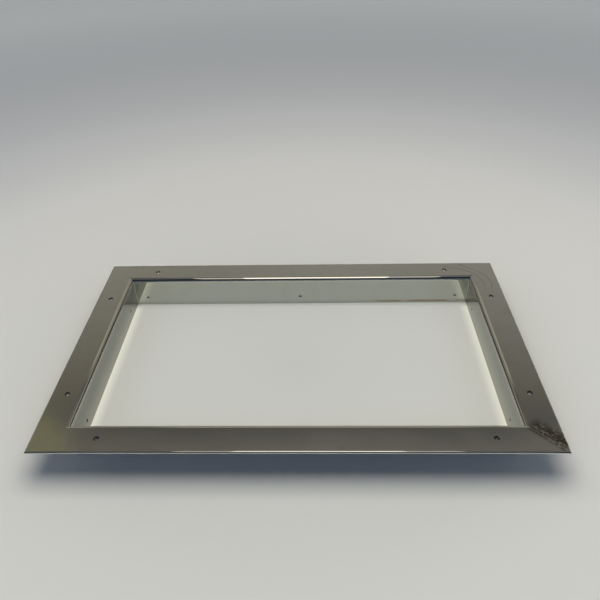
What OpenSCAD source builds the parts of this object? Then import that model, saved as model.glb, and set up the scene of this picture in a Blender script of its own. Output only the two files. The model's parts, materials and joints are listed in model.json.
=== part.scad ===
// Trim frame for a deck hatch, in polished stainless plate.
// Four L-section rails, each a flat flange bent down into an upright skirt,
// are mitred at 45 degrees and welded at the corners.
// +X is the long way, +Y is the back and +Z is up. The origin is the middle
// of the opening, level with the foot of the skirt.

/* [Frame] */
// Overall length of the frame, over the short rails' flanges
frame_l = 760; // [740:5:1200]
// Overall width of the frame, over the long rails' flanges
frame_w = 475; // [400:5:900]
// Height from the foot of the skirt to the top of the flange
frame_h = 60.5; // [45:0.5:100]

/* [Section] */
// Thickness of the plate
plate_t = 3; // [2.5:0.5:4]
// Flange width, from its outer edge to the skirt's inner face
flange_w = 51; // [45:0.5:60]
// Radius of the bend, on the polished side
bend_r = 7; // [4.5:0.5:8]
// Radius buffed onto the top of the flange's outer edge
edge_r = 2.4; // [0.5:0.1:2.4]

/* [Flange screw holes] */
// Clear hole for the screw
screw_hole_d = 4.5; // [4:0.1:5]
// Countersink width at the flange's top face, cut at 90 degrees
countersink_d = 8.6; // [8:0.1:8.8]
// Distance from the flange's outer edge to the line of holes
screw_inset = 25; // [20:0.5:30]
// Distance between the two holes in a long rail
long_screw_gap = 568; // [400:2:570]
// Distance between the two holes in a short rail
short_screw_gap = 248; // [100:2:280]

/* [Skirt screw holes] */
// Plain hole through the skirt
skirt_hole_d = 5; // [4:0.1:6]
// Height of the holes above the foot of the skirt
skirt_hole_z = 17.5; // [10:0.5:25]
// Distance between neighbouring holes in a long skirt, which has three
long_skirt_pitch = 305; // [150:5:305]
// Distance between the two holes in a short skirt
short_skirt_pitch = 280; // [100:5:285]

/* [Corner welds] */
// Gap between two mitred rails, which the weld fills
root_gap = 1.5; // [1:0.1:2]
// Radius of the bead's rounded back, outside the skirt
bead_r = 2.4; // [2:0.1:3]
// Height that the bead stands out of the skirt's sharp corner
bead_rise = 1.1; // [0.6:0.1:1.5]
// Length that the bead stops short of the foot of the skirt
bead_stop = 4; // [2:0.5:8]

/* [Hidden] */
$fn = 64;

steel_colour = [0.74, 0.74, 0.71];
weld_colour = [0.62, 0.61, 0.58];

bend_z = frame_h - bend_r;                 // height at which the bend starts
flange_z = frame_h - plate_t;              // height of the flange's underside
inner_bend_r = bend_r - plate_t;
skirt_back = flange_w - plate_t;           // outer edge to the skirt's outer face
countersink_depth = (countersink_d - screw_hole_d) / 2;
past = 1;                                  // how far a cutter runs past a face
end_setback = root_gap / sqrt(2);          // root gap's half, measured along a rail
corner_run = 3 * flange_w;                 // length of rail that a corner needs
mitre_l = sqrt(2) * flange_w;              // length of the mitre seen from above

// L-section: the skirt's inner face is on the Y axis, its foot is on the X axis
module section() {
    square([plate_t, bend_z]);
    translate([bend_r, bend_z])
        intersection() {
            difference() {
                circle(r = bend_r);
                circle(r = inner_bend_r);
            }
            translate([-bend_r, 0]) square(bend_r);
        }
    translate([bend_r, flange_z]) square([flange_w - edge_r - bend_r, plate_t]);
    translate([flange_w - edge_r, flange_z]) square([edge_r, plate_t - edge_r]);
    translate([flange_w - edge_r, frame_h - edge_r])
        intersection() {
            circle(r = edge_r);
            square(edge_r);
        }
}

// Length of section along X, its flange's outer edge on the XZ plane
module bar(run) {
    translate([0, flange_w, 0])
        rotate([90, 0, -90])
            linear_extrude(height = run, center = true) section();
}

// Plan of one rail between its two mitre cuts, as a block
module mitre_block(run) {
    half_run = run / 2 - end_setback;
    deep = flange_w + past;
    translate([0, 0, -past])
        linear_extrude(height = frame_h + 2 * past)
            polygon([
                [-half_run - past, -past], [half_run + past, -past],
                [half_run - deep, deep], [-half_run + deep, deep]
            ]);
}

// Cutter for one countersunk hole, standing on the flange's centre line
module screw_hole() {
    translate([0, screw_inset, flange_z - past])
        cylinder(h = plate_t + 2 * past, d = screw_hole_d);
    translate([0, screw_inset, frame_h - countersink_depth])
        cylinder(h = countersink_depth + past, d1 = screw_hole_d,
                 d2 = countersink_d + 2 * past);
}

// Cutter for one plain hole through the skirt
module skirt_hole() {
    translate([0, skirt_back - past, skirt_hole_z])
        rotate([-90, 0, 0])
            cylinder(h = plate_t + 2 * past, d = skirt_hole_d);
}

// One rail with its outer edge along X
module rail(run, screw_gap, skirt_xs) {
    color(steel_colour)
        difference() {
            intersection() {
                bar(run);
                mitre_block(run);
            }
            for (x = [-screw_gap / 2, screw_gap / 2])
                translate([x, 0, 0]) screw_hole();
            for (x = skirt_xs)
                translate([x, 0, 0]) skirt_hole();
        }
}

module long_rail() {
    rail(frame_l, long_screw_gap, [-long_skirt_pitch, 0, long_skirt_pitch]);
}

module short_rail() {
    rail(frame_w, short_screw_gap, [-short_skirt_pitch / 2, short_skirt_pitch / 2]);
}

// Metal of a corner within a given distance of the mitre. The flange's sharp
// corner is at the origin and the opening lies towards +X and +Y.
module mitre_slice(reach) {
    for (side = [0, 1])
        mirror([side, -side, 0])
            intersection() {
                bar(corner_run);
                rotate([0, 0, 45])
                    translate([-past, -reach, -past])
                        cube([mitre_l + 2 * past, reach, frame_h + 2 * past]);
            }
}

// Rounded back of the bead up the skirt's outer corner, to the flange, with
// nothing past the middle of the walls
module skirt_bead() {
    centre = skirt_back + (bead_r - bead_rise) / sqrt(2);
    mid_wall = skirt_back + plate_t / 2;
    difference() {
        translate([centre, centre, bead_stop])
            cylinder(h = flange_z - bead_stop, r = bead_r);
        translate([mid_wall, mid_wall, 0]) cube([plate_t, plate_t, frame_h]);
    }
}

// Layer of space between two heights
module layer(low, high) {
    translate([-past, -past, low])
        cube([flange_w + 2 * past, flange_w + 2 * past, high - low]);
}

// Weld through the flange and the bend, dressed flush on both sides so that
// the flange seats flat
module mitre_weld() {
    color(weld_colour)
        intersection() {
            mitre_slice(root_gap / 2);
            layer(bend_z, frame_h + past);
        }
}

// Weld down the skirt's corner: flush inside, a bead outside
module corner_weld() {
    color(weld_colour) {
        intersection() {
            mitre_slice(root_gap / 2);
            layer(-past, bend_z);
        }
        difference() {
            skirt_bead();
            mitre_slice(flange_w);
        }
    }
}

// Where each rail and each corner stands. Front is turn 0, then right, back
// and left; a corner follows the rail that ends at it.
module place_rail(turn, span) {
    rotate([0, 0, turn]) translate([0, -span / 2, 0]) children();
}

module place_corner(turn, run, span) {
    rotate([0, 0, turn]) translate([-run / 2, -span / 2, 0]) children();
}

module front_rail() { place_rail(0, frame_w) long_rail(); }
module right_rail() { place_rail(90, frame_l) short_rail(); }
module back_rail() { place_rail(180, frame_w) long_rail(); }
module left_rail() { place_rail(270, frame_l) short_rail(); }

module front_left_mitre_weld() { place_corner(0, frame_l, frame_w) mitre_weld(); }
module front_right_mitre_weld() { place_corner(90, frame_w, frame_l) mitre_weld(); }
module back_right_mitre_weld() { place_corner(180, frame_l, frame_w) mitre_weld(); }
module back_left_mitre_weld() { place_corner(270, frame_w, frame_l) mitre_weld(); }

module front_left_corner_weld() { place_corner(0, frame_l, frame_w) corner_weld(); }
module front_right_corner_weld() { place_corner(90, frame_w, frame_l) corner_weld(); }
module back_right_corner_weld() { place_corner(180, frame_l, frame_w) corner_weld(); }
module back_left_corner_weld() { place_corner(270, frame_w, frame_l) corner_weld(); }

front_rail();
right_rail();
back_rail();
left_rail();
front_left_mitre_weld();
front_right_mitre_weld();
back_right_mitre_weld();
back_left_mitre_weld();
front_left_corner_weld();
front_right_corner_weld();
back_right_corner_weld();
back_left_corner_weld();
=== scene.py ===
"""Trim frame for a deck hatch: four mitred lengths of mirror-polished stainless L-section, welded at
the corners.

+X runs along the long rails, +Y towards the back rail and +Z up. The frame stands on the foot of its
skirt at z = 0. Sizes are in millimetres unless a comment says metres.
"""

import json

import bmesh
import bpy
import numpy as np
from mathutils import Matrix, Vector


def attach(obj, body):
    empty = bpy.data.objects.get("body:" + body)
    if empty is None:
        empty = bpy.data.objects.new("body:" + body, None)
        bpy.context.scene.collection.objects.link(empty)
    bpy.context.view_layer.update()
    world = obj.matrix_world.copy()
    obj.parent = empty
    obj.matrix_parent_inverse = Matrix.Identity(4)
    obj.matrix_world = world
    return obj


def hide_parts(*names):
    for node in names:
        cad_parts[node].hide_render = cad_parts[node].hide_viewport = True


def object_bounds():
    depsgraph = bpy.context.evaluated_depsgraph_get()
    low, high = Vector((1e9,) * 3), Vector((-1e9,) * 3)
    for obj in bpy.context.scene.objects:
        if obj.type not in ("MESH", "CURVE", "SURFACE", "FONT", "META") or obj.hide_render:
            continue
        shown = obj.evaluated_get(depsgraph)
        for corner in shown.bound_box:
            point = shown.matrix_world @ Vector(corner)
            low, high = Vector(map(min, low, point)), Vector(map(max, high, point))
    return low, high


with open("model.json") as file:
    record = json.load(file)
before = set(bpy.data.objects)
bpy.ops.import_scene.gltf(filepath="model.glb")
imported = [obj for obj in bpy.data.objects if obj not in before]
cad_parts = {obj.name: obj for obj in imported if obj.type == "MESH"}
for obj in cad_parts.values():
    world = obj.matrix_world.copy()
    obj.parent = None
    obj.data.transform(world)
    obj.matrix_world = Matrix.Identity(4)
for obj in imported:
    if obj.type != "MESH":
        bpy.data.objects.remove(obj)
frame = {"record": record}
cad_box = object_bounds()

MM = 0.001

# The overall size comes from the frame. The section's sizes repeat the ones the CAD part is built with.
LOW, HIGH = (np.array(corner) / MM for corner in cad_box)
FRAME_L, FRAME_W, FRAME_H = HIGH - LOW
PLATE_T = 3.0
FLANGE_W = 51.0
BEND_R = 7.0
EDGE_R = 2.4
UNDER_EDGE_R = 0.2
ROOT_GAP = 1.5
SETBACK = ROOT_GAP / np.sqrt(2)
BEND_Z = FRAME_H - BEND_R
FLANGE_Z = FRAME_H - PLATE_T
SKIRT_BACK = FLANGE_W - PLATE_T
COUNTERSINK_R = 4.3
BEAD_R = 2.4
BEAD_RISE = 1.1
BEAD_STOP = 4.0
MOUNTS = {m["name"]: m for m in frame["record"]["mounts"]}
SCREW_INSET = FRAME_W / 2 - MOUNTS["long_flange_screws"]["dims"]["spacing_y_mm"] / 2
SKIRT_HOLE_Z = MOUNTS["left_skirt_screws"]["pos_m"][2] / MM
SCREW_R = MOUNTS["long_flange_screws"]["dims"]["hole_r_mm"]
SKIRT_HOLE_R = MOUNTS["left_skirt_screws"]["dims"]["hole_r_mm"]

# How finely the surfaces are cut: the square window of cells round a hole, the steps round each bend, and
# the guard lines that keep the shading flat beside a bend or a slanted end.
WINDOW_HALF = 7.0
WINDOW_CELLS = 12
BEND_STEPS = 25
EDGE_STEPS = 8
GUARD = 0.25
SKIRT_STEP = 12.0
FLANGE_STEP = 8.0
STATION_STEP = 14.0
STATION_GUARD = 0.5
SLANT_GUARDS = (0.0, 0.5, 3.0)
CORNER_CLEARANCE = 6.0
MERGE_WITHIN = 0.002
SLIVER = 0.0005
GAP_STEPS = 7
BEAD_STEPS = 25
BEAD_LAYER = 0.25
STRIP_LEVELS = 12

# The front bend rolls over softly, from SOFT_RUN_IN past the corner on.
SOFT_BEND_POWER = 1.8
SOFT_START = 4.0
SOFT_RUN_IN = 40.0
# Weld pull at each corner: X, Y, how far it droops and how far along the rails that reaches.
CORNER_DROOPS = [
    (-FRAME_L / 2, -FRAME_W / 2, 0.7, 45.0),
    (FRAME_L / 2, -FRAME_W / 2, 0.45, 40.0),
    (FRAME_L / 2, FRAME_W / 2, 0.3, 35.0),
    (-FRAME_L / 2, FRAME_W / 2, 0.3, 35.0),
]
# Burr broken off the edges of the holes.
EASE = 0.15
# Hollow in the dressed weld.
WELD_DISH = 0.005
# Dabs of filler rod up the bead: their spacing, the dip between two, how far each one bows, the length
# over which the bead starts, and how far into the gap its root reaches.
DAB_PITCH = 1.7
DAB_DEPTH = 0.16
DAB_BOW = 1.6
BEAD_START = 2.5
ROOT_SHARE = 0.6


# ---------------------------------------------------------------- mesh work

def arc(centre, radius, start, stop, count):
    """Points on a circle: centre plus radius times (cos, sin) of evenly spaced angles, in degrees."""
    angle = np.radians(np.linspace(start, stop, count))
    return np.c_[centre[0] + radius * np.cos(angle), centre[1] + radius * np.sin(angle)]


def spread(low, high, windows, step, guard):
    """Sorted stations from low to high about step apart, with a line at each window's edges, evenly
    spaced lines inside it, and a guard line just inside each end."""
    marks = [low, low + guard, high - guard, high]
    for middle, half in windows:
        marks += list(np.linspace(middle - half, middle + half, WINDOW_CELLS + 1))
    marks = np.unique(np.round(marks, 6))
    gaps = zip(marks[:-1], marks[1:])
    inner = [np.linspace(a, b, max(1, int(np.ceil((b - a) / step))) + 1)[:-1] for a, b in gaps]
    return np.append(np.concatenate(inner), high)


def grid_faces(rows, columns, keep=None):
    """Quads between neighbouring points of a grid stored row by row, leaving out those where keep is
    false."""
    first = np.arange(rows - 1)[:, None] * columns + np.arange(columns - 1)[None, :]
    quads = np.stack([first, first + columns, first + columns + 1, first + 1], axis=-1)
    return quads.reshape(-1, 4) if keep is None else quads[keep]


def build(name, parts, finishes, sharp=30.0):
    """One mesh object from (points, arrays of faces, finish number) parts, joined where their points
    meet, with its faces outwards and its edges sharp where they turn by more than the given degrees."""
    points, faces, marks, count = [], [], [], 0
    for part_points, blocks, mark in parts:
        points.append(part_points)
        for block in blocks:
            faces += (block + count).tolist()
            marks += [mark] * len(block)
        count += len(part_points)
    mesh = bpy.data.meshes.new(name)
    mesh.from_pydata((np.concatenate(points) * MM).tolist(), [], faces)
    for finish in finishes:
        mesh.materials.append(finish)
    mesh.polygons.foreach_set("material_index", marks)
    work = bmesh.new()
    work.from_mesh(mesh)
    bmesh.ops.remove_doubles(work, verts=work.verts, dist=MERGE_WITHIN * MM)
    bmesh.ops.dissolve_degenerate(work, edges=work.edges, dist=SLIVER * MM)
    bmesh.ops.recalc_face_normals(work, faces=work.faces)
    open_edges = sum(not edge.is_manifold for edge in work.edges)
    if open_edges:
        print(name, "has", open_edges, "open edges")
    work.to_mesh(mesh)
    work.free()
    mesh.polygons.foreach_set("use_smooth", [True] * len(mesh.polygons))
    mesh.set_sharp_from_angle(angle=np.radians(sharp))
    piece = bpy.data.objects.new(name, mesh)
    bpy.context.scene.collection.objects.link(piece)
    return piece


def placed(points, turn, run, span):
    """Points moved by half a run along X and half a span along Y, then turned about Z to their own side
    of the frame. A rail is drawn about the middle of its outer edge, so its run is 0. A corner is drawn
    with the flange's sharp corner at the origin and the opening towards +X and +Y."""
    angle = np.radians(turn)
    x, y, z = (points - (run / 2, span / 2, 0)).T
    return np.c_[x * np.cos(angle) - y * np.sin(angle), x * np.sin(angle) + y * np.cos(angle), z]


def settle(points):
    """Weld pull: each corner droops by its depth times e to the minus square of the distance over the
    reach. The drop fades to nothing at the foot of the skirt."""
    x, y, z = points.T
    drop = np.zeros(len(points))
    for corner_x, corner_y, depth, reach in CORNER_DROOPS:
        far = np.hypot(x - corner_x, y - corner_y) / reach
        drop += depth * np.exp(-far ** 2)
    return np.c_[x, y, z - drop * z / FRAME_H]


# ---------------------------------------------------------------- section

def section():
    """The L-section as two matched chains of (distance from the outer edge, height): the polished side
    from the skirt's foot, round the bend and out to the edge, and the hidden side behind it."""
    up = spread(0, BEND_Z, [(SKIRT_HOLE_Z, WINDOW_HALF)], SKIRT_STEP, GUARD)
    out = spread(EDGE_R, FLANGE_W - BEND_R, [(SCREW_INSET, WINDOW_HALF)], FLANGE_STEP, GUARD)[::-1]
    bend_at = (FLANGE_W - BEND_R, BEND_Z)
    show = np.concatenate([
        np.c_[np.full(len(up), FLANGE_W), up],
        arc(bend_at, BEND_R, 0, 90, BEND_STEPS)[1:-1],
        np.c_[out, np.full(len(out), FRAME_H)],
        arc((EDGE_R, FRAME_H - EDGE_R), EDGE_R, 90, 180, EDGE_STEPS)[1:],
    ])
    hidden = np.concatenate([
        np.c_[np.full(len(up), SKIRT_BACK), up],
        arc(bend_at, BEND_R - PLATE_T, 0, 90, BEND_STEPS)[1:-1],
        np.c_[out, np.full(len(out), FLANGE_Z)],
        arc((UNDER_EDGE_R, FLANGE_Z + UNDER_EDGE_R), UNDER_EDGE_R, 270, 180, EDGE_STEPS)[1:],
    ])
    return show, hidden, up, out


def soft_bend():
    """Move from the plain round bend to one that rolls over slowly from the flange: its turn grows as
    a power of the distance along it, so it is nearly flat at first and tight at the end."""
    along = np.linspace(0, 1, 400)
    turn = np.radians(90) * along ** SOFT_BEND_POWER
    across = np.r_[0, np.cumsum(np.cos(turn[1:]) + np.cos(turn[:-1]))]
    down = np.r_[0, np.cumsum(np.sin(turn[1:]) + np.sin(turn[:-1]))]
    scale = BEND_R / across[-1]
    across, down = across * scale, down * scale
    steps = np.linspace(1, 0, BEND_STEPS)[1:-1]
    bent = np.c_[np.interp(steps, along, across), -np.interp(steps, along, down)]
    bend = slice(len(UP), len(UP) + len(steps))
    move = np.zeros_like(SHOW)
    move[bend] = bent + (FLANGE_W - BEND_R, FRAME_H) - SHOW[bend]
    return move


SHOW, HIDDEN, UP, OUT = section()
SOFT_BEND = soft_bend()
OUT_FIRST = len(UP) + BEND_STEPS - 2


def hole_lining(top, bottom, middle, axis_a, axis_b, rings):
    """Surface from a square window on the show side, through rings of (radius, depth) about the hole's
    axis, to the matching window behind. Ring points take the bearing of the window's own points. Gives
    the points, and the faces in front of the bore, of the bore and behind it."""
    normal = np.cross(axis_a, axis_b)
    around = np.arctan2((top - middle) @ axis_b, (top - middle) @ axis_a)
    unit = np.cos(around)[:, None] * axis_a + np.sin(around)[:, None] * axis_b
    first = middle + rings[0][0] * unit
    last_depth = rings[-1][1]
    last = middle + rings[-1][0] * unit - last_depth * normal
    loops = [top, top + 0.5 * (first - top), first + 0.12 * (top - first)]
    loops += [middle + radius * unit - depth * normal for radius, depth in rings]
    loops += [last + 0.12 * (bottom - last), bottom + 0.5 * (last - bottom), bottom]
    count = len(top)
    points = np.concatenate(loops)
    row = np.arange(len(loops) - 1)[:, None] * count
    here, after = np.arange(count)[None, :], (np.arange(count)[None, :] + 1) % count
    quads = np.stack([row + here, row + count + here, row + count + after, row + after], axis=-1)
    flat = 3 * count
    quads = quads.reshape(-1, 4)
    return points, quads[:flat], quads[flat:-flat], quads[-flat:]


def window_loop(grid, rows, columns):
    """Points round the border of a block of grid cells, in order."""
    (r0, r1), (c0, c1) = rows, columns
    return np.concatenate([
        grid[r0, c0:c1], grid[r0:r1, c1], grid[r1, c1:c0:-1], grid[r1:r0:-1, c0],
    ])


def rail(name, run, span, turn, screw_xs, skirt_xs, finishes, softness=0.0):
    """A mitred length of the section. Stations run along X; the end ones slant at 45 degrees, because
    each point stops short of the end by its own distance from the outer edge."""
    reach = run / 2 - FLANGE_W - CORNER_CLEARANCE
    windows = [(x, WINDOW_HALF) for x in sorted(set(screw_xs) | set(skirt_xs))]
    stations = spread(-reach, reach, windows, STATION_STEP, STATION_GUARD)
    ends = run / 2 - SETBACK
    grids = []
    for chain, soften in ((SHOW, softness), (HIDDEN, 0.0)):
        slants = [ends - chain[:, 0] - guard for guard in SLANT_GUARDS]
        rows = [-s for s in slants] + [np.full(len(chain), s) for s in stations] + slants[::-1]
        grid = np.stack([np.c_[s, chain] for s in rows])
        inward = run / 2 - FLANGE_W - SOFT_START - np.abs(grid[:, :, 0])
        inward = np.clip(inward / SOFT_RUN_IN, 0, 1)
        amount = inward * inward * (3 - 2 * inward) * soften
        grid[:, :, 1:] += amount[:, :, None] * SOFT_BEND
        grids.append(grid)
    show, hidden = grids
    count = show.shape[0]
    keep = np.ones((count - 1, len(SHOW) - 1), bool)
    linings = []
    holes = [(x, SCREW_INSET, "flange") for x in screw_xs]
    holes += [(x, SKIRT_HOLE_Z, "skirt") for x in skirt_xs]
    for x, across, place in holes:
        rows = span_of(show[:, 0, 0], x)
        if place == "flange":
            columns = span_of(SHOW[OUT_FIRST:OUT_FIRST + len(OUT), 0], across, OUT_FIRST)
            middle = np.array([x, across, FRAME_H])
            axes = np.array([1.0, 0, 0]), np.array([0, 1.0, 0])
            deep = COUNTERSINK_R - SCREW_R
            rings = [
                (COUNTERSINK_R, 0), (SCREW_R + 0.05, deep - 0.05), (SCREW_R, deep + 0.02),
                (SCREW_R, PLATE_T - 0.2), (SCREW_R + EASE, PLATE_T)]
        else:
            columns = span_of(SHOW[:len(UP), 1], across)
            middle = np.array([x, FLANGE_W, across])
            axes = np.array([0, 0, 1.0]), np.array([1.0, 0, 0])
            rings = [
                (SKIRT_HOLE_R + EASE, 0), (SKIRT_HOLE_R + 0.04, 0.04), (SKIRT_HOLE_R, EASE),
                (SKIRT_HOLE_R, PLATE_T - EASE), (SKIRT_HOLE_R + EASE, PLATE_T)]
        keep[rows[0]:rows[1], columns[0]:columns[1]] = False
        top, bottom = window_loop(show, rows, columns), window_loop(hidden, rows, columns)
        linings.append(hole_lining(top, bottom, middle, *axes, rings))
    wide = len(SHOW)
    parts = [
        (show.reshape(-1, 3), [grid_faces(count, wide, keep)], 0),
        (hidden.reshape(-1, 3), [grid_faces(count, wide, keep)], 1),
    ]
    for end in (0, -1):
        cap = np.stack([show[end], hidden[end]]).reshape(-1, 3)
        parts.append((cap, [grid_faces(2, wide)], 1))
    for side in (0, wide - 1):
        strip = np.stack([show[:, side], hidden[:, side]]).reshape(-1, 3)
        parts.append((strip, [grid_faces(2, count)], 0 if side else 1))
    for points, face_ring, bore, back_ring in linings:
        parts += [(points, [face_ring], 0), (points, [bore], 2), (points, [back_ring], 1)]
    parts = [(settle(placed(points, turn, 0, span)), blocks, mark) for points, blocks, mark in parts]
    return build(name, parts, finishes)


def span_of(values, middle, offset=0):
    """First and last index of the grid lines that bound the window about middle."""
    low = int(np.argmin(np.abs(values - (middle - WINDOW_HALF))))
    high = int(np.argmin(np.abs(values - (middle + WINDOW_HALF))))
    return min(low, high) + offset, max(low, high) + offset


def tube(outlines):
    """Closed solid through a stack of outlines with the same number of points, capped at both ends by
    triangles about the outline's middle. Takes an array of (outline, point, xyz)."""
    count, wide = outlines.shape[:2]
    row = np.arange(count - 1)[:, None] * wide
    here, after = np.arange(wide)[None, :], (np.arange(wide)[None, :] + 1) % wide
    sides = np.stack([row + here, row + after, row + wide + after, row + wide + here], axis=-1)
    middle = outlines[[0, -1]].mean(axis=1)
    points = np.concatenate([outlines.reshape(-1, 3), middle])
    caps = []
    for centre, first in ((count * wide, 0), (count * wide + 1, (count - 1) * wide)):
        ring = first + np.arange(wide)
        caps.append(np.c_[ring, np.roll(ring, -1), np.full(wide, centre)])
    return points, [sides.reshape(-1, 4), *caps]


def mitre_weld(name, turn, run, span, finishes):
    """Weld through the flange and the bend: at each point of the section it runs straight across the
    gap between the two mitred ends. Its top is dressed down to a hair below the plates, as a sine
    across the gap, so its edges still catch the light."""
    first = len(UP) - 1
    top, under = SHOW[first:], HIDDEN[first:]
    loop = np.concatenate([top, under[::-1]])
    across = np.linspace(0, 1, GAP_STEPS)
    x = loop[None, :, 0] + SETBACK * np.clip(1 - 2 * across, 0, 1)[:, None]
    y = loop[None, :, 0] + SETBACK * np.clip(2 * across - 1, 0, 1)[:, None]
    dish = WELD_DISH * np.sin(np.pi * across)[:, None] * (np.arange(len(loop)) < len(top))[None, :]
    z = np.broadcast_to(loop[None, :, 1], x.shape) - dish
    points, blocks = tube(np.stack([x, y, z], axis=-1))
    return build(name, [(settle(placed(points, turn, run, span)), blocks, 0)], finishes)


def corner_weld(name, turn, run, span, finishes):
    """Weld down the skirt: a flush strip through the gap, and outside it a rounded bead. The bead's
    radius swells and dips in crescents, one for each dab of filler rod, and it dies away at its foot."""
    inner, outer = FLANGE_W, SKIRT_BACK
    strip = np.array([
        (inner + SETBACK, inner), (outer + SETBACK, outer), (outer, outer + SETBACK),
        (inner, inner + SETBACK), (inner, inner + 0.2), (inner + 0.2, inner)])
    levels = np.linspace(0, BEND_Z, STRIP_LEVELS)
    stack = np.concatenate([
        np.broadcast_to(strip, (len(levels),) + strip.shape),
        np.broadcast_to(levels[:, None, None], (len(levels), len(strip), 1))], axis=2)
    middle = SKIRT_BACK + (BEAD_R - BEAD_RISE) / np.sqrt(2)
    half = np.degrees(np.arcsin((middle - SKIRT_BACK) / BEAD_R))
    angle = np.radians(np.linspace(-half, -270 + half, BEAD_STEPS))
    z = np.arange(BEAD_STOP, FLANGE_Z + 0.01, BEAD_LAYER)
    bow = (np.degrees(angle) + 135) / 135
    dab = (z[:, None] + DAB_BOW * bow[None, :] ** 2) / DAB_PITCH
    radius = BEAD_R - DAB_DEPTH * (1 - np.abs(np.sin(np.pi * dab)) ** 0.6)
    start = np.clip((z - BEAD_STOP) / BEAD_START, 0, 1)
    swell = np.sqrt(1 - (1 - start) ** 2)[:, None]
    arc_x, arc_y = middle + radius * np.cos(angle), middle + radius * np.sin(angle)
    root = SKIRT_BACK + ROOT_SHARE * SETBACK
    bead_x, bead_y = root + swell * (arc_x - root), root + swell * (arc_y - root)
    flat = np.broadcast_to(z[:, None], bead_x.shape)
    bead = np.stack([bead_x, bead_y, flat], axis=-1)
    parts = [(*tube(stack), 0), (*tube(bead), 1)]
    parts = [(settle(placed(points, turn, run, span)), blocks, mark) for points, blocks, mark in parts]
    return build(name, parts, finishes, sharp=50.0)


# ---------------------------------------------------------------- finishes

def linear(hex_colour):
    """An sRGB hex colour as linear red, green, blue and 1."""
    channels = [int(hex_colour[i:i + 2], 16) / 255 for i in (1, 3, 5)]
    return [c / 12.92 if c <= 0.04045 else ((c + 0.055) / 1.055) ** 2.4 for c in channels] + [1.0]


def add(tree, kind, settings=None, inputs=None):
    """Adds a node, sets its properties and its inputs; an input that is a socket is linked."""
    node = tree.nodes.new(kind)
    for name, value in (settings or {}).items():
        setattr(node, name, value)
    for name, value in (inputs or {}).items():
        if isinstance(value, bpy.types.NodeSocket):
            tree.links.new(value, node.inputs[name])
        else:
            node.inputs[name].default_value = value
    return node


def ramp_of(tree, value, stops):
    """A smooth colour ramp through (place, hex colour) stops, places running from 0 to 1."""
    node = add(tree, "ShaderNodeValToRGB", inputs={"Fac": value})
    elements = node.color_ramp.elements
    for _ in stops[2:]:
        elements.new(0.5)
    for element, (place, colour) in zip(elements, stops):
        element.position, element.color = place, linear(colour)
    return node.outputs["Color"]


def new_finish(name):
    """An empty material with its output node."""
    finish = bpy.data.materials.new(name)
    finish.use_nodes = True
    tree = finish.node_tree
    tree.nodes.clear()
    return finish, tree, tree.nodes.new("ShaderNodeOutputMaterial")


def surface(finish_tree, out, inputs):
    """Principled shader wired to the output."""
    shader = add(finish_tree, "ShaderNodeBsdfPrincipled", inputs=inputs)
    finish_tree.links.new(shader.outputs[0], out.inputs["Surface"])


def blend(tree, amount, low, high, kind="MIX"):
    """Colour from low to high as amount goes from 0 to 1."""
    return add(tree, "ShaderNodeMix", {"data_type": "RGBA", "blend_type": kind},
               {0: amount, 6: low, 7: high}).outputs[2]


def eased(tree, value, low, high, start=0.0, end=1.0):
    """Smooth step of value from low to high, carried on to the range start to end."""
    return add(tree, "ShaderNodeMapRange", {"interpolation_type": "SMOOTHSTEP"}, {
        "Value": value, "From Min": low, "From Max": high, "To Min": start, "To Max": end}).outputs[0]


def calc(tree, operation, first, second=0.0):
    """One arithmetic step."""
    return add(tree, "ShaderNodeMath", {"operation": operation}, {0: first, 1: second}).outputs[0]


def corner_place(tree, place, corner, angle):
    """Coordinates laid along one mitre, as a vector and its X and Y: X runs inwards from the flange's
    sharp corner, Y to its left. The corner is in metres."""
    laid = add(tree, "ShaderNodeMapping", {"vector_type": "TEXTURE"}, {
        "Vector": place, "Location": corner, "Rotation": (0.0, 0.0, float(np.radians(angle)))})
    split = add(tree, "ShaderNodeSeparateXYZ", inputs={"Vector": laid.outputs[0]})
    return laid.outputs[0], split.outputs["X"], split.outputs["Y"]


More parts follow.
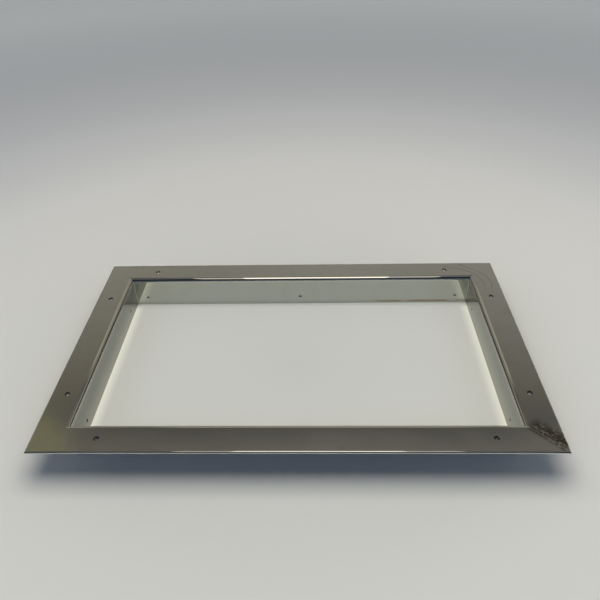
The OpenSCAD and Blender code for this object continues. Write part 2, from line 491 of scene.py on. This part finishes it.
def mirror_plate():
    """316 stainless plate, ground and then mopped to a mirror with polishing compound.

    It shows the room almost sharply. What tells it from a glass mirror is a warm grey tint, slow waves
    left by the belt (60 to 100 mm apart), hazy patches where the mop dragged (10 to 30 mm), and hair
    lines along the rails. The hair lines are 0.02 mm wide on real plate and are drawn 1 mm wide here.
    Places on the plate are in metres."""
    finish, tree, out = new_finish("mirror polished 316 stainless plate")
    place = add(tree, "ShaderNodeTexCoord").outputs["Object"]
    axis = add(tree, "ShaderNodeSeparateXYZ", inputs={"Vector": place})

    # The skirt is darker than the flange, and darker still on the short rails.
    past_square = (FRAME_L - FRAME_W) / 2 * MM
    along_long = calc(tree, "SUBTRACT", calc(tree, "ABSOLUTE", axis.outputs["X"]), past_square)
    on_side = calc(tree, "GREATER_THAN", along_long, calc(tree, "ABSOLUTE", axis.outputs["Y"]))
    skirt_tone = blend(tree, on_side, linear("#B8BBB4"), linear("#8E908A"))
    rise = eased(tree, axis.outputs["Z"], (BEND_Z - 4) * MM, (FRAME_H - 1) * MM)
    tone = blend(tree, rise, skirt_tone, linear("#CCC9C1"))

    # Haze in soft patches.
    patches = add(tree, "ShaderNodeTexNoise", inputs={
        "Vector": place, "Scale": 45.0, "Detail": 4.0, "Roughness": 0.55})
    haze = eased(tree, patches.outputs["Fac"], 0.45, 0.8)
    tone = blend(tree, haze, tone, blend(tree, 1.0, tone, linear("#FAF9F6"), "MULTIPLY"))

    # Compound dragged out along the front right mitre, mostly on the right rail: feathery smudges.
    laid, along, across = corner_place(tree, place, (HIGH[0] * MM, LOW[1] * MM, 0.0), 135)
    drag = add(tree, "ShaderNodeMapping", inputs={"Vector": laid, "Scale": (0.8, 1.6, 0.2)})
    feather = add(tree, "ShaderNodeTexNoise", inputs={
        "Vector": drag.outputs[0], "Scale": 95.0, "Detail": 7.0, "Roughness": 0.62, "Distortion": 1.6})
    near = calc(tree, "MULTIPLY", eased(tree, across, -0.03, -0.014), eased(tree, across, 0.008, 0.0))
    length = calc(tree, "MULTIPLY", eased(tree, along, 0.003, 0.012), eased(tree, along, 0.074, 0.058))
    zone = calc(tree, "MULTIPLY", near, length)
    smear = calc(tree, "MULTIPLY", zone, eased(tree, feather.outputs["Fac"], 0.4, 0.51))
    high_up = eased(tree, axis.outputs["Z"], (FRAME_H - 3) * MM, (FRAME_H - 1.5) * MM)
    smear = calc(tree, "MULTIPLY", smear, high_up)
    tone = blend(tree, smear, tone, linear("#6E6657"))

    # Thin arcs where the edge of the mop bit, at the back right mitre.
    swing = add(tree, "ShaderNodeMapping", {"vector_type": "TEXTURE"}, {
        "Vector": place, "Location": ((HIGH[0] - 96) * MM, (HIGH[1] - 82) * MM, FRAME_H * MM)})
    bent = add(tree, "ShaderNodeTexNoise", inputs={"Vector": place, "Scale": 22.0, "Detail": 2.0})
    swung = add(tree, "ShaderNodeVectorMath", {"operation": "LENGTH"}, {0: swing.outputs[0]})
    wander = calc(tree, "MULTIPLY", bent.outputs["Fac"], 0.02)
    reach = calc(tree, "ADD", swung.outputs["Value"], wander)
    hair = eased(tree, calc(tree, "PINGPONG", reach, 0.0065), 0.0011, 0.0003)
    back_along = corner_place(tree, place, (HIGH[0] * MM, HIGH[1] * MM, 0.0), 225)[1]
    band = calc(tree, "MULTIPLY", eased(tree, reach, 0.068, 0.076), eased(tree, reach, 0.1, 0.095))
    patch = calc(tree, "MULTIPLY", eased(tree, back_along, 0.09, 0.06), band)
    arcs = calc(tree, "MULTIPLY", calc(tree, "MULTIPLY", hair, patch), high_up)
    tone = blend(tree, calc(tree, "MULTIPLY", arcs, 0.5), tone, linear("#6F695E"))

    # A brown line of compound caught along the foot of the back skirt, towards the right.
    above_foot = eased(tree, axis.outputs["Z"], 0.0015, 0.004)
    below_top = eased(tree, axis.outputs["Z"], 0.0085, 0.005)
    to_right = eased(tree, axis.outputs["X"], 0.09, 0.2)
    on_back = eased(tree, axis.outputs["Y"], 0.18, 0.183)
    drawn = add(tree, "ShaderNodeMapping", inputs={"Vector": place, "Scale": (0.25, 1.0, 2.0)})
    broken = add(tree, "ShaderNodeTexNoise", inputs={
        "Vector": drawn.outputs[0], "Scale": 110.0, "Detail": 5.0})
    foot = calc(tree, "MULTIPLY", above_foot, below_top)
    foot = calc(tree, "MULTIPLY", foot, calc(tree, "MULTIPLY", to_right, on_back))
    streak = calc(tree, "MULTIPLY", foot, eased(tree, broken.outputs["Fac"], 0.35, 0.6))
    tone = blend(tree, streak, tone, linear("#9C8F78"))

    # Roughness: a clean mirror, a little more in the haze and much more in the smudges.
    rough = calc(tree, "ADD", calc(tree, "MULTIPLY", haze, 0.03), 0.035)
    rough = calc(tree, "ADD", rough, calc(tree, "MULTIPLY", smear, 0.2))
    rough = calc(tree, "ADD", rough, calc(tree, "MULTIPLY", streak, 0.15))

    # Bump: slow waves, then hair lines. The long rails' lines run along X and the short rails' along Y.
    waves = add(tree, "ShaderNodeTexNoise", inputs={"Vector": place, "Scale": 14.0, "Detail": 1.0})
    long_way = add(tree, "ShaderNodeMapping", inputs={"Vector": place, "Scale": (0.03, 1.0, 1.0)})
    short_way = add(tree, "ShaderNodeMapping", inputs={"Vector": place, "Scale": (1.0, 0.03, 1.0)})
    lines = []
    for way_round in (long_way, short_way):
        lines.append(add(tree, "ShaderNodeTexNoise", inputs={
            "Vector": way_round.outputs[0], "Scale": 900.0, "Detail": 2.0}).outputs["Fac"])
    hair_lines = add(tree, "ShaderNodeMix", {"data_type": "FLOAT"}, {
        0: on_side, 2: lines[0], 3: lines[1]})
    wave_bump = add(tree, "ShaderNodeBump", inputs={
        "Strength": 1.0, "Distance": 0.00025, "Height": waves.outputs["Fac"]})
    fine_bump = add(tree, "ShaderNodeBump", inputs={
        "Strength": 1.0, "Distance": 0.0000015, "Height": hair_lines.outputs[0],
        "Normal": wave_bump.outputs[0]})
    surface(tree, out, {
        "Base Color": tone, "Metallic": 1.0, "Roughness": rough, "Normal": fine_bump.outputs[0]})
    return finish


def mill_plate():
    """The same plate as it left the mill, pickled and dull, on the hidden side and the cut ends.

    Rolling leaves a soft satin with a faint cloud 20 to 40 mm across, and handling leaves grey rubs."""
    finish, tree, out = new_finish("mill finish 316 stainless plate")
    place = add(tree, "ShaderNodeTexCoord").outputs["Object"]
    cloud = add(tree, "ShaderNodeTexNoise", inputs={"Vector": place, "Scale": 30.0, "Detail": 4.0})
    grit = add(tree, "ShaderNodeTexNoise", inputs={"Vector": place, "Scale": 1500.0, "Detail": 2.0})
    bump = add(tree, "ShaderNodeBump", inputs={"Distance": 0.00001, "Height": grit.outputs["Fac"]})
    cloudy = eased(tree, cloud.outputs["Fac"], 0.3, 0.7)
    surface(tree, out, {
        "Base Color": blend(tree, cloudy, linear("#A5A39C"), linear("#BBB9B2")),
        "Metallic": 1.0, "Roughness": eased(tree, cloud.outputs["Fac"], 0.3, 0.7, 0.28, 0.4),
        "Normal": bump.outputs[0]})
    return finish


def drilled_and_shaded_steel():
    """Bare 316 stainless left by the drill and the countersink: dark grey, partly the cut steel's own
    tone and partly painted shade for the dim insides of the holes, with rings from the cutter
    0.3 mm apart that spread what it reflects."""
    finish, tree, out = new_finish("drilled 316 stainless")
    place = add(tree, "ShaderNodeTexCoord").outputs["Object"]
    chatter = add(tree, "ShaderNodeTexNoise", inputs={"Vector": place, "Scale": 900.0, "Detail": 2.0})
    bump = add(tree, "ShaderNodeBump", inputs={"Distance": 0.00002, "Height": chatter.outputs["Fac"]})
    # The dark base colour is partly painted shade for the insides of the holes.
    surface(tree, out, {
        "Base Color": linear("#66645F"), "Metallic": 1.0,
        "Roughness": eased(tree, chatter.outputs["Fac"], 0.3, 0.7, 0.3, 0.42),
        "Normal": bump.outputs[0]})
    return finish


def dressed_weld():
    """308 filler weld, ground flush and mopped with the plate: a shade greyer, with cross grain."""
    finish, tree, out = new_finish("dressed and polished stainless weld")
    place = add(tree, "ShaderNodeTexCoord").outputs["Object"]
    grain = add(tree, "ShaderNodeTexNoise", inputs={"Vector": place, "Scale": 700.0, "Detail": 3.0})
    spots = add(tree, "ShaderNodeTexNoise", inputs={"Vector": place, "Scale": 160.0, "Detail": 2.0})
    bump = add(tree, "ShaderNodeBump", inputs={"Distance": 0.000004, "Height": grain.outputs["Fac"]})
    # Darker on the skirt than on the flange, as on the plate.
    level = add(tree, "ShaderNodeSeparateXYZ", inputs={"Vector": place}).outputs["Z"]
    rise = eased(tree, level, (BEND_Z - 4) * MM, (FRAME_H - 1) * MM)
    surface(tree, out, {
        "Base Color": blend(tree, rise, linear("#A6A9A3"), linear("#C8C5BD")),
        "Metallic": 1.0, "Roughness": eased(tree, spots.outputs["Fac"], 0.4, 0.7, 0.04, 0.1),
        "Normal": bump.outputs[0]})
    return finish


def raw_bead():
    """308 filler weld left as it froze: silver crests, with straw, bronze and blue heat tint in bands.

    The tint follows the heat in bands some 5 mm wide, and drifts along the bead."""
    finish, tree, out = new_finish("as welded stainless bead with heat tint")
    place = add(tree, "ShaderNodeTexCoord").outputs["Object"]
    drift = add(tree, "ShaderNodeTexNoise", inputs={"Vector": place, "Scale": 120.0, "Detail": 3.0})
    tint = ramp_of(tree, drift.outputs["Fac"], [
        (0.3, "#B9B6AE"), (0.42, "#BDA777"), (0.52, "#9C7A5C"), (0.6, "#6E7391"), (0.72, "#A9ABB0")])
    crust = add(tree, "ShaderNodeTexNoise", inputs={"Vector": place, "Scale": 1200.0, "Detail": 3.0})
    bump = add(tree, "ShaderNodeBump", inputs={"Distance": 0.00002, "Height": crust.outputs["Fac"]})
    surface(tree, out, {
        "Base Color": tint, "Metallic": 1.0,
        "Roughness": eased(tree, crust.outputs["Fac"], 0.3, 0.7, 0.22, 0.42),
        "Normal": bump.outputs[0]})
    return finish


mirror, mill, drilled_and_shaded = mirror_plate(), mill_plate(), drilled_and_shaded_steel()
dressed, bead_metal = dressed_weld(), raw_bead()

LONG_SCREWS = MOUNTS["long_flange_screws"]["dims"]["spacing_x_mm"] / 2 * np.array([-1, 1])
SHORT_SCREWS = MOUNTS["short_flange_screws"]["dims"]["spacing_y_mm"] / 2 * np.array([-1, 1])
LONG_SKIRT = MOUNTS["back_skirt_screws"]["dims"]["spacing_x_mm"] / 2 * np.array([-1, 0, 1])
SHORT_SKIRT = MOUNTS["left_skirt_screws"]["dims"]["spacing_x_mm"] / 2 * np.array([-1, 1])


def carry(piece, node):
    """Stands the piece in for its node, on the frame's one body."""
    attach(piece, "root")
    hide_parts(node)


for node, turn in (("front_rail", 0), ("right_rail", 90), ("back_rail", 180), ("left_rail", 270)):
    long_way = turn % 180 == 0
    run, span = (FRAME_L, FRAME_W) if long_way else (FRAME_W, FRAME_L)
    screws, skirts = (LONG_SCREWS, LONG_SKIRT) if long_way else (SHORT_SCREWS, SHORT_SKIRT)
    plate = rail(
        node + "_plate", run, span, turn, screws.tolist(), skirts.tolist(), [mirror, mill, drilled_and_shaded],
        softness=1.0 if node == "front_rail" else 0.0)
    carry(plate, node)
for corner, turn in (("front_left", 0), ("front_right", 90), ("back_right", 180), ("back_left", 270)):
    run, span = (FRAME_L, FRAME_W) if turn % 180 == 0 else (FRAME_W, FRAME_L)
    seam = mitre_weld(corner + "_mitre_seam", turn, run, span, [dressed])
    bead = corner_weld(corner + "_corner_bead", turn, run, span, [dressed, bead_metal])
    carry(seam, corner + "_mitre_weld")
    carry(bead, corner + "_corner_weld")

# ---------------------------------------------------------------- stage, light and camera

FLOOR_HALF = 12.0
# Width of the painted strip of light beside a short skirt, in metres.
THROWN = 0.02


def studio_paper():
    """Pale matt paper. Lengths are in metres. It is painted lighter the further it is from the middle,
    and from 0.9 m out it glows more and more: both are painted light for the far floor.

    The light that the polished side skirts throw on to it at their feet is painted as a glow too, in a
    strip that is brightest at the skirt and fades over THROWN."""
    finish, tree, out = new_finish("pale studio paper")
    place = add(tree, "ShaderNodeTexCoord").outputs["Object"]
    far = add(tree, "ShaderNodeVectorMath", {"operation": "LENGTH"}, {0: place}).outputs["Value"]
    # Painted light: the paper is lighter further from the middle.
    near_part = add(tree, "ShaderNodeMapRange", inputs={"Value": far, "From Max": 2.0}).outputs[0]
    tone = ramp_of(tree, near_part, [(r / 2, c) for r, c in (
        (0.0, "#BBBDBA"), (0.35, "#C6C8C4"), (0.6, "#DADAD6"), (0.9, "#F0EFEB"), (1.3, "#F8F7F4"))])
    # Painted light: the paper glows from 0.9 m out, more the further it is.
    far_part = add(tree, "ShaderNodeMapRange", inputs={"Value": far, "From Max": 4.0}).outputs[0]
    glow = ramp_of(tree, far_part, [(r / 4, c) for r, c in (
        (0.9, "#000000"), (2.0, "#494949"), (3.2, "#6F6F6E"))])

    # Painted light: a glowing strip at the foot of each short skirt, inside the frame.
    axis = add(tree, "ShaderNodeSeparateXYZ", inputs={"Vector": place})
    from_side, from_end = (
        calc(tree, "SUBTRACT", (size / 2 - FLANGE_W) * MM, calc(tree, "ABSOLUTE", axis.outputs[letter]))
        for size, letter in ((FRAME_L, "X"), (FRAME_W, "Y")))
    fade = eased(tree, from_side, THROWN, -0.4 * THROWN)
    fade = calc(tree, "MULTIPLY", fade, calc(tree, "GREATER_THAN", from_side, 0.0))
    strip = calc(tree, "MULTIPLY", eased(tree, from_end, 0.0, 0.02), fade)
    glow = blend(tree, strip, glow, linear("#A5A28E"))
    surface(tree, out, {
        "Base Color": tone, "Roughness": 0.9, "Specular IOR Level": 0.2,
        "Emission Color": glow, "Emission Strength": 1.0})
    return finish


floor_mesh = bpy.data.meshes.new("floor")
floor_corners = FLOOR_HALF * np.array([(-1, -1, 0), (1, -1, 0), (1, 1, 0), (-1, 1, 0)])
floor_mesh.from_pydata(floor_corners.tolist(), [], [(0, 1, 2, 3)])
floor_mesh.materials.append(studio_paper())
floor = bpy.data.objects.new("floor", floor_mesh)
bpy.context.scene.collection.objects.link(floor)


def panel(name, middle, size, watts, colour, aim=(0, 0, 0)):
    """A flat soft light of the given size in metres, turned to face a point."""
    light = bpy.data.lights.new(name, "AREA")
    light.shape = "RECTANGLE"
    light.size, light.size_y = size
    light.energy = watts
    light.color = linear(colour)[:3]
    lamp = bpy.data.objects.new(name, light)
    lamp.location = middle
    lamp.rotation_euler = (Vector(middle) - Vector(aim)).to_track_quat("Z", "Y").to_euler()
    bpy.context.scene.collection.objects.link(lamp)
    return lamp


# The overhead light hangs behind cloth, so polished steel shows only a soft glow in the middle of it.
# Each panel hangs a little lower than the last, so that a reflected ray meets them one after another.
# Width, depth and height in metres, watts, and whether polished steel shows it:
OVERHEAD = (
    (1.2, 1.0, 1.2, 11.6, False),
    (0.95, 0.95, 1.19, 1.6, True),
    (0.56, 0.85, 1.18, 1.7, True),
)
OVER_X, OVER_Y = 0.03, -0.03
for width, depth, height, watts, shown in OVERHEAD:
    overhead = panel(
        "overhead_panel", (OVER_X, OVER_Y, height), (width, depth), watts, "#FFF9EE", (OVER_X, OVER_Y, 0))
    overhead.visible_glossy = shown
for fill_x in (-2.2, 2.2):
    fill = panel("low_fill", (fill_x, -2.4, 1.9), (1.6, 0.9), 11.0, "#A9C6FF", (0, -0.2, 0))
    fill.visible_glossy = False

world = bpy.data.worlds.new("studio")
bpy.context.scene.world = world
world.use_nodes = True
sky = world.node_tree
sky.nodes.clear()

# The room that the steel reflects, by direction. Places on the ramps are degrees turned about X, from the
# back horizon over the top to the front one. The back wall also varies a little with X.
way = add(sky, "ShaderNodeTexCoord").outputs["Generated"]
axis = add(sky, "ShaderNodeSeparateXYZ", inputs={"Vector": way})
over = calc(sky, "ARCTAN2", axis.outputs["Z"], axis.outputs["Y"])
half_turn = calc(sky, "DIVIDE", over, float(np.pi))
room = ramp_of(sky, half_turn, [(d / 180, c) for d, c in (
    (0, "#AEADA8"), (30, "#A3A29C"), (34, "#9C9B95"), (40.5, "#86857F"), (45.4, "#737169"),
    (48.4, "#626260"), (50.6, "#7C7A76"), (60, "#7A7872"), (72, "#3A3B3A"), (80, "#3A3B3A"),
    (86, "#989FA8"), (99, "#989FA8"), (105, "#24262A"), (130, "#24282D"), (160, "#46505D"),
    (176, "#6A7C92"))])
across = add(sky, "ShaderNodeMapRange", inputs={"Value": axis.outputs["X"], "From Min": -1.0})
falloff = ramp_of(sky, across.outputs[0], [((x + 1) / 2, c) for x, c in (
    (-0.45, "#FFFDF8"), (-0.3, "#F4F3F0"), (-0.17, "#EFEFEE"), (0.02, "#FFFFFF"), (0.2, "#F6F6F6"),
    (0.42, "#FFFFFF"))])
shade = blend(sky, 1.0, room, falloff, "MULTIPLY")


def slab(low, high, start, stop):
    """1 where the turn from the back horizon is between low and high degrees and X is between start and
    stop, with soft edges."""
    soft_turn, soft_x = 2 / 180, 0.08
    x = axis.outputs["X"]
    edges = (
        eased(sky, half_turn, low / 180 - soft_turn, low / 180),
        eased(sky, half_turn, high / 180 + soft_turn, high / 180),
        eased(sky, x, start - soft_x, start),
        eased(sky, x, stop + soft_x, stop))
    amount = edges[0]
    for edge in edges[1:]:
        amount = calc(sky, "MULTIPLY", amount, edge)
    return amount


# Side walls, beyond about 30 degrees either way.
to_side = eased(sky, calc(sky, "ABSOLUTE", axis.outputs["X"]), 0.46, 0.6)
side_room = ramp_of(sky, half_turn, [(d / 180, c) for d, c in (
    (0, "#5E5E5A"), (29, "#4A4A46"), (37, "#B4B2A4"), (60, "#9EA3A8"), (120, "#8E98A4"),
    (178, "#77828F"))])
shade = blend(sky, to_side, shade, side_room)
# A lit patch in the middle of the back wall, and an olive one up on its left.
shade = blend(sky, slab(38.5, 45.5, -0.2, 0.2), shade, linear("#B2B0A2"))
OLIVE_WAY, OLIVE_REACH = (-0.44, 0.585, 0.70), 0.09
olive_far = add(sky, "ShaderNodeVectorMath", {"operation": "DISTANCE"}, {0: way, 1: OLIVE_WAY})
olive = eased(sky, olive_far.outputs["Value"], OLIVE_REACH, 0.0)
shade = blend(sky, olive, shade, linear("#86866C"))

# The camera itself sees plain grey.
room_light = add(sky, "ShaderNodeBackground", inputs={"Color": shade, "Strength": 1.0})
plain = add(sky, "ShaderNodeBackground", inputs={"Color": linear("#A1A09E"), "Strength": 1.0})
path = add(sky, "ShaderNodeLightPath")
seen = add(sky, "ShaderNodeMixShader", inputs={
    0: path.outputs["Is Camera Ray"], 1: room_light.outputs[0], 2: plain.outputs[0]})
add(sky, "ShaderNodeOutputWorld", inputs={"Surface": seen.outputs[0]})

camera_data = bpy.data.cameras.new("camera")
camera_data.lens, camera_data.sensor_width = 36.0, 36.0
camera = bpy.data.objects.new("camera", camera_data)
# Where it stands in metres, and its turn to the left, its tilt down and its roll in degrees.
CAMERA_AT = (0.0343, -0.7774, 0.7236)
CAMERA_TURN, CAMERA_DOWN, CAMERA_ROLL = 2.10, 36.57, -1.671
tilt = Matrix.Rotation(np.radians(CAMERA_TURN), 4, "Z") @ Matrix.Rotation(
    np.radians(90 - CAMERA_DOWN), 4, "X") @ Matrix.Rotation(np.radians(CAMERA_ROLL), 4, "Z")
camera.matrix_world = Matrix.Translation(CAMERA_AT) @ tilt
bpy.context.scene.collection.objects.link(camera)
bpy.context.scene.camera = camera
bpy.context.scene.view_settings.view_transform = "Standard"
